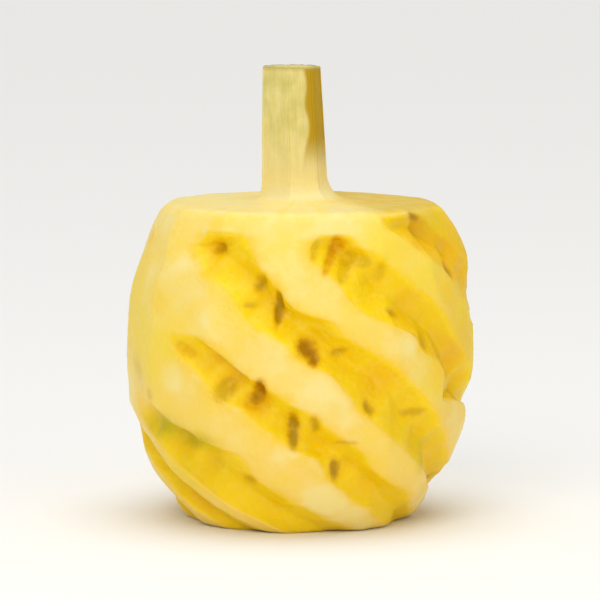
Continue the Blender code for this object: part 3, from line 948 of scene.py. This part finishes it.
# Ripe pineapple, cut with a knife and still wet. Light goes a few millimetres into it, so its
# shadows are warm and soft, and its juice gives a broad, broken gloss.
flesh = {
    "pared": "#fbdd76",  # just under the rind the flesh is pale
    "paredEdge": "#f9d24e",
    "paredWarm": "#fad058",
    "yellow": "#fbce26",
    "lemon": "#fcd61c",
    "golden": "#fbd700",
    "deep": "#f6ce00",
    "orange": "#f3ba00",
    "palePatch": "#fae596",
    "yellowPatch": "#fcd64c",
    "goldenPatch": "#f8d83c",
    "olive": "#c6b200",
    "halo": "#dc9a00",
    "slashOlive": "#cfa600",
    "eyeOlive": "#a67f00",
    "eyeBrown": "#a65e00",
    "stalkPale": "#e8d98e",
    "stalkStraw": "#dfcc72",
    "stalkGreen": "#c9bd62",
    # skin left on the stalk, and painted shade on its right side
    "stalkSkin": "#bc9600",
    "stalkRim": "#a89c5a",
    "stalkFoot": "#f6e3a0",
    "core": "#f6e6a4",
    # a painted shadow on the flat top's back right
    "dried": "#deb712",
    "ior": 1.37,  # mostly water and sugar
    "specular": 0.28,
    "roughness": (0.32, 0.58),  # least and most, as the grain breaks the gloss
    "grainRange": (0.3, 0.7),  # what the grain's noise mostly stays within
    "subsurface": 0.2,
    "glowDepth": 1.6 * mm,
    "glowByColour": (1.0, 0.75, 0.25),  # red light goes deepest
    "juice": 0.06,  # a thin wet coat
    "juiceRoughness": 0.25,
    "cell": 1.2,  # mm across a juice cell
    "grain": 1.6,  # mm across a frayed end of cut fibre, drawn coarser than life
    "fibre": 0.5,  # mm between fibres, drawn coarser than the real 0.2 so that they show
    "fibreStretch": 0.06,  # how much slower they change up the stalk
    "spoke": 3.69,  # mm between the spokes of fibre, at the shoulder
    "patch": 5.5,  # mm across a paler or yellower patch
    "cloud": 12.0,  # mm across the broad changes of ripeness
    "frayByGrain": 0.26,  # how far each pattern moves the edge of a colour
    "frayByPatch": 0.40,
    "markByGrain": 1.7,  # mm that each moves the edge of an eye's mark
    "markByPatch": 2.4,
    "cellRelief": (0.3, 0.25 * mm),  # strength and height
    "grainRelief": (0.45, 0.35 * mm),
}

# The colours laid over each other in turn, each with its masks: what a mask follows, where it
# starts, where it is full, and the least and the most that it covers. A plain name is a mask
# that is used as it stands.
depthStops = [(0.02, "pared"), (0.24, "paredEdge"), (0.37, "yellow"), (0.52, "golden"), (1.0, "deep")]
fleshLayers = [
    ("paredWarm", ("height", 62 * mm, 12 * mm, 0, 0.5), ("cutShare", 0.5, 0.2, 0, 1)),  # low down
    # yellower, and at the upper right partly painted shade
    ("goldenPatch", "golden", ("cutShare", 0.5, 0.2, 0, 1)),
    # at the upper right the more orange floors are painted shade
    ("orange", ("scoopTint", 0.1, 1.4, 0, 0.8)),  # some scoops are more orange
    ("lemon", ("scoopTint", -0.1, -1.0, 0, 0.4)),  # and others more lemon
    ("palePatch", ("clouds", 0.50, 0.64, 0, 0.8), ("golden", 0.6, 0, 0, 1), ("cutShare", 0.6, 0.1, 0, 1)),
    ("yellowPatch", ("clouds", 0.48, 0.36, 0, 0.55), ("cutShare", 0.6, 0.1, 0, 1)),
    ("palePatch", ("cells", 0.4, 0.75, 0, 0.08)),  # the walls of the juice cells
    ("halo", "lip", ("patches", 0.42, 0.62, 0, 0.8)),  # a thin line where the knife left the flesh
    # olive, partly painted shade low at the front and on the shoulder
    ("olive", "green", ("patches", 0.34, 0.56, 0.55, 1)),
    ("halo", "orangeSlash", ("grain", 0.34, 0.56, 0.45, 1)),
    ("slashOlive", "oliveSlash", ("grain", 0.34, 0.56, 0.45, 1)),
    ("halo", ("markReach", 1.5, 0.1, 0, 0.6), "eyeTone"),  # the orange stain round an eye
    ("eyeMark", ("markReach", 0.55, -0.75, 0, 1), "eyeTone"),
    ("core", ("flatCut", 0, 1, 0, 0.5)),  # the flat cuts are paler
    ("lemon", ("spokes", 0.42, 0.62, 0, 0.4), "flatCut"),
    ("core", ("fromAxis", 11 * mm, 8.5 * mm, 0, 0.85), "flatCut"),  # round a paler core
    # a painted shadow on the top's back right
    ("dried", ("patches", 0.3, 0.6, 0.7, 1), "dried"),
    ("stalk", "onStalk"),
]
eyeLayers = [("eyeBrown", ("eyeTone", 0.78, 1.0, 0, 1))]  # over olive, so the darkest are brown
fibreStops = [(0.34, "stalkStraw"), (0.62, "stalkPale")]
stalkLayers = [
    ("stalkGreen", ("patches", 0.45, 0.7, 0, 0.6)),
    ("stalkFoot", ("height", 96 * mm, 82 * mm, 0, 0.8)),
    # the stalk's skin strip, partly painted shade on its right
    ("stalkSkin", "stalkSkin"),
    ("eyeOlive", ("cells", 0.35, 0.15, 0, 0.35), "onEnd"),  # the ends of its bundles
    ("stalkRim", ("atRim", 0, 1, 0, 0.7)),
]


def layColours(tree, colour, layers, sources, made):
    for name, *masks in layers:
        covers = []
        for mask in masks:
            if isinstance(mask, str):
                covers.append(sources[mask])
                continue
            source, start, full, least, most = mask
            ends = {"From Min": start, "From Max": full, "To Min": least, "To Max": most}
            covers.append(addNode(tree, "MapRange", {**ends, "Value": sources[source]}).outputs[0])
        cover = covers[0]
        for other in covers[1:]:
            cover = addNode(tree, "Math", {"operation": "MULTIPLY", 0: cover, 1: other}).outputs[0]
        top = made[name] if name in made else hexColour(flesh[name])
        colour = addNode(tree, "Mix", {"data_type": "RGBA", 0: cover, 6: colour, 7: top}).outputs[2]
    return colour


def fleshMaterial():
    material = bpy.data.materials.new("wetCutPineapple")
    values = {
        "IOR": flesh["ior"],
        "Specular IOR Level": flesh["specular"],
        "Subsurface Weight": flesh["subsurface"],
        "Subsurface Radius": flesh["glowByColour"],
        "Subsurface Scale": flesh["glowDepth"],
        "Coat Weight": flesh["juice"],
        "Coat Roughness": flesh["juiceRoughness"],
    }
    shader = firstNode(material, "Principled BSDF", values)
    tree = material.node_tree
    place = addNode(tree, "TexCoord", {}).outputs["Object"]
    sources = {}
    for name in pointShares:
        sources[name] = addNode(tree, "Attribute", {"attribute_name": name}).outputs["Fac"]

    # Spokes of fibre run out from the core on the flat cuts, and the stalk's fibres run up it.
    flatten = {"operation": "MULTIPLY", 0: place, 1: (1.0, 1.0, 0.0)}
    flatPlace = addNode(tree, "VectorMath", flatten).outputs[0]
    spokePlace = addNode(tree, "VectorMath", {"operation": "NORMALIZE", 0: flatPlace}).outputs[0]
    spokeScale = barrel["shoulderRadius"] / (flesh["spoke"] * mm)
    stretch = (1.0, 1.0, flesh["fibreStretch"])
    stretched = addNode(tree, "Mapping", {"Scale": stretch, "Vector": place}).outputs[0]
    for name, scale, detail, roughness, where in (
        ("clouds", perMm(flesh["cloud"]), 2.0, 0.5, place),
        ("patches", perMm(flesh["patch"]), 3.0, 0.55, place),
        ("grain", perMm(flesh["grain"]), 4.0, 0.65, place),
        ("spokes", spokeScale, 4.0, 0.7, spokePlace),
        ("fibres", perMm(flesh["fibre"]), 3.0, 0.6, stretched),
    ):
        settings = {"Scale": scale, "Detail": detail, "Roughness": roughness, "Vector": where}
        sources[name] = addNode(tree, "TexNoise", settings).outputs["Fac"]
    cells = {"feature": "SMOOTH_F1", "Scale": perMm(flesh["cell"]), "Smoothness": 0.8, "Vector": place}
    sources["cells"] = addNode(tree, "TexVoronoi", cells).outputs["Distance"]
    sources["height"] = addNode(tree, "SeparateXYZ", {0: place}).outputs["Z"]

    # The grain and the patches fray the edges of the grooves' colours and of the eyes' marks.
    for name, share, byGrain, byPatch in (
        ("cutEdge", "cutShare", flesh["frayByGrain"], flesh["frayByPatch"]),
        ("markReach", "eyeReach", flesh["markByGrain"], flesh["markByPatch"]),
    ):
        moves = []
        for pattern, by in (("grain", byGrain), ("patches", byPatch)):
            shift = {"operation": "MULTIPLY_ADD", 0: sources[pattern], 1: by, 2: -by / 2}
            moves.append(addNode(tree, "Math", shift).outputs[0])
        moved = addNode(tree, "Math", {"operation": "ADD", 0: moves[0], 1: moves[1]}).outputs[0]
        frayed = {"operation": "ADD", 0: sources[share], 1: moved}
        sources[name] = addNode(tree, "Math", frayed).outputs[0]

    sources["fromAxis"] = addNode(tree, "VectorMath", {"operation": "LENGTH", 0: flatPlace}).outputs["Value"]
    flatCut = {"operation": "MAXIMUM", 0: sources["onTop"], 1: sources["onBase"]}
    sources["flatCut"] = addNode(tree, "Math", flatCut).outputs[0]

    grounds = {}
    for name, table, source in (
        ("flesh", depthStops, sources["cutEdge"]),
        ("stalk", fibreStops, sources["fibres"]),
    ):
        stops = [(at, flesh[colour]) for at, colour in table]
        grounds[name] = addNode(tree, "ValToRGB", {"stops": stops, "Fac": source}).outputs[0]
    made = {
        "eyeMark": layColours(tree, hexColour(flesh["eyeOlive"]), eyeLayers, sources, {}),
        "stalk": layColours(tree, grounds["stalk"], stalkLayers, sources, {}),
    }
    colour = layColours(tree, grounds["flesh"], fleshLayers, sources, made)
    tree.links.new(colour, shader.inputs["Base Color"])

    # Cells and grain stand out a little, and the grain breaks the juice's gloss.
    strength, height = flesh["cellRelief"]
    bump = addNode(tree, "Bump", {"Strength": strength, "Distance": height, "Height": sources["cells"]})
    strength, height = flesh["grainRelief"]
    finer = {"Strength": strength, "Distance": height, "Height": sources["grain"], "Normal": bump.outputs[0]}
    tree.links.new(addNode(tree, "Bump", finer).outputs[0], shader.inputs["Normal"])
    (low, high), (least, most) = flesh["grainRange"], flesh["roughness"]
    gloss = {"From Min": low, "From Max": high, "To Min": least, "To Max": most, "Value": sources["grain"]}
    tree.links.new(addNode(tree, "MapRange", gloss).outputs[0], shader.inputs["Roughness"])
    return material


fruit.data.materials.append(fleshMaterial())
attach(fruit, "root")
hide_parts("peeled_pineapple")
print("flesh made")

studio = {
    "floor": "#f6f5f2",
    "floorRoughness": 0.9,
    "floorHalf": 8,
    "sky": "#ffffff",
    "skyStrength": 0.42,
    "overheadStrength": 1.5,  # lights the floor more than the fruit's side
    "overheadSoftness": math.radians(50),
    "keyPlace": (-0.33, -0.95, 0.74),
    "keySize": 0.70,
    "keyPower": 4.4,
    "fillPlace": (0.7, -0.8, 0.3),
    "fillSize": 0.8,
    "fillPower": 1.6,
    "lightTarget": (0, 0, 0.05),
    "cameraPlace": (0.0, -0.96, 0.160),  # as far off and as high as the photograph was taken from
    "cameraTarget": (0.0, 0.0, 0.053),
    "shownHeight": 0.146,
}


def aimAt(thing, target):
    thing.rotation_euler = (Vector(target) - thing.location).to_track_quat("-Z", "Y").to_euler()


def areaLight(name, place, size, power):
    light = bpy.data.lights.new(name, "AREA")
    light.energy, light.size = power, size
    aimAt(addObject(name, light, place), studio["lightTarget"])


# White paper, matt and uncoated, which gives the floor its soft and even tone.
def paperMaterial():
    paper = bpy.data.materials.new("mattPaper")
    colour, roughness = hexColour(studio["floor"]), studio["floorRoughness"]
    firstNode(paper, "Principled BSDF", {"Base Color": colour, "Roughness": roughness})
    return paper


def makeStudio():
    scene = bpy.context.scene
    far = studio["floorHalf"]
    corners = [(-far, -far, 0), (far, -far, 0), (far, far, 0), (-far, far, 0)]
    floorMesh = bpy.data.meshes.new("floor")
    floorMesh.from_pydata(corners, [], [(0, 1, 2, 3)])
    floorMesh.materials.append(paperMaterial())
    floor = addObject("floor", floorMesh)

    world = bpy.data.worlds.new("sky")
    firstNode(world, "Background", {"Color": hexColour(studio["sky"]), "Strength": studio["skyStrength"]})
    scene.world = world

    for name in ("key", "fill"):
        areaLight(name, studio[name + "Place"], studio[name + "Size"], studio[name + "Power"])
    overhead = bpy.data.lights.new("overhead", "SUN")
    overhead.energy, overhead.angle = studio["overheadStrength"], studio["overheadSoftness"]
    addObject("overhead", overhead)

    lens = bpy.data.cameras.new("camera")
    camera = addObject("camera", lens, studio["cameraPlace"])
    aimAt(camera, studio["cameraTarget"])
    away = (Vector(studio["cameraTarget"]) - camera.location).length
    lens.lens = lens.sensor_width * away / studio["shownHeight"]
    lens.clip_start = 0.01
    scene.camera = camera
    scene.view_settings.view_transform = "Standard"


makeStudio()
print("studio made")
